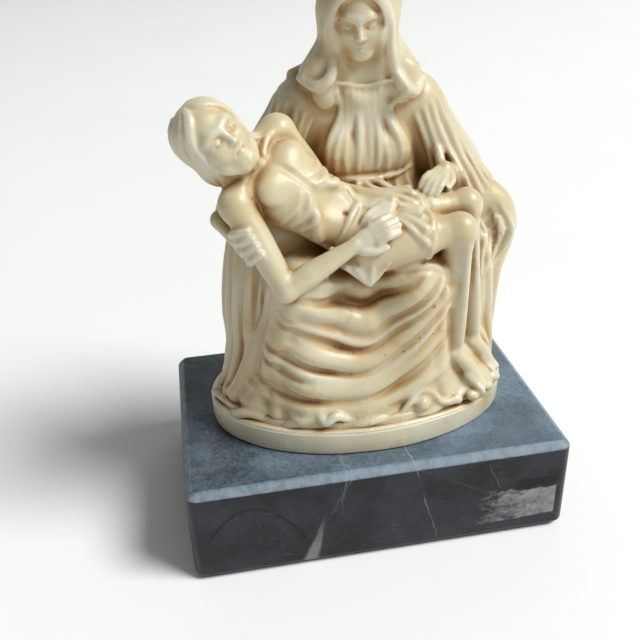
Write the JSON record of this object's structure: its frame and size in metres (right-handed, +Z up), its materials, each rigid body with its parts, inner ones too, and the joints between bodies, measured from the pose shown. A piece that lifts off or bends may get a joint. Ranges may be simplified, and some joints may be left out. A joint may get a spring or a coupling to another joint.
{
  "type": "pieta statuette",
  "caption": "Small cast statuette of a veiled seated woman with a man's body across her lap, on an oval plinth that stands on a rectangular marble block.",
  "frame": {"origin": "centre of the marble block's underside", "axes": "+Z up, +X to the right as one faces the group, +Y from the front to the back; the group faces -Y"},
  "size_m": [0.1, 0.068, 0.1412],
  "materials": {
    "marble": "dark grey marble with fine white veins, worn polish",
    "resin": "cream stone-powder resin, waxy sheen, brown patina in the hollows"
  },
  "bodies": {
    "root": {"marble_block": "marble", "pieta_group": "resin"}
  },
  "joints": []
}
